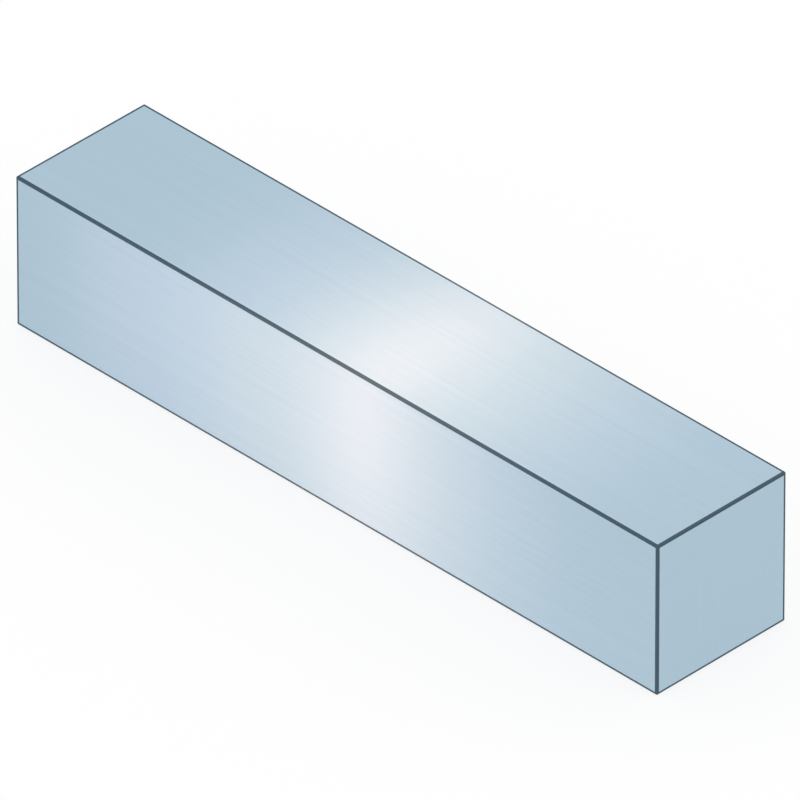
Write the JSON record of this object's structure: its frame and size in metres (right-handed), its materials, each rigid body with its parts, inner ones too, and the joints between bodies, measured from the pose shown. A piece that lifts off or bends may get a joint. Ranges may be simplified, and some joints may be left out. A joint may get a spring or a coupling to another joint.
{
  "type": "parallel key",
  "caption": "Plain square steel bar with square ends and lightly broken edges. Sits half in a shaft's keyseat and half in a hub's keyway to carry torque between them.",
  "frame": {"origin": "middle of the bottom face, which lies on the floor of the shaft's keyseat", "axes": "+X along the key's length and the shaft, +Y across the key from flank to flank, +Z out of the keyseat towards the hub"},
  "size_m": [0.025, 0.005, 0.005],
  "materials": {
    "bright_key_steel": "bright, cool blue-grey, with a fine drawn grain along the length"
  },
  "bodies": {
    "root": {"parallel_key": "bright_key_steel"}
  },
  "joints": []
}
